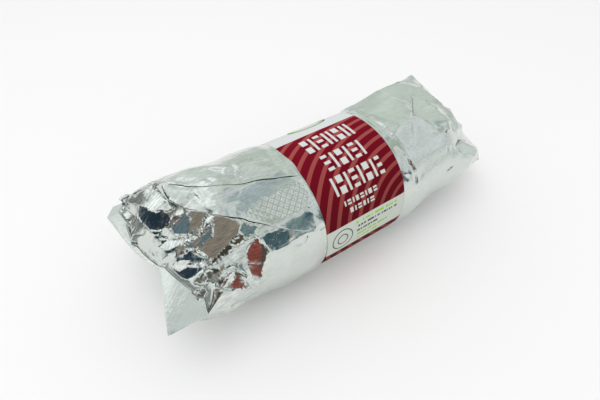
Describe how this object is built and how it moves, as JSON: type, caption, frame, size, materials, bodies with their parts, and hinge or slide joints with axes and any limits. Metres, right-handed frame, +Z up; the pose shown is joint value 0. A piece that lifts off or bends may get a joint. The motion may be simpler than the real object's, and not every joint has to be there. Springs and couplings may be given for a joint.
{
  "type": "breakfast taco",
  "caption": "Rolled breakfast taco shut in crumpled foil, with pinched ends and a printed paper band round its middle, lying on its side.",
  "frame": {"origin": "on the table, under the middle of the pack's box", "axes": "+X along the roll, from the eared end to the end with the tail; +Z up; the printed side faces up and towards -Y"},
  "size_m": [0.1698, 0.0676, 0.053],
  "materials": {
    "foil": "crumpled kitchen foil, bright, with a fine embossed grain",
    "printed_paper": "thin coated paper, satin, printed dark red and white"
  },
  "bodies": {
    "root": {"foil_wrap": "foil", "paper_band": "printed_paper"}
  },
  "joints": []
}
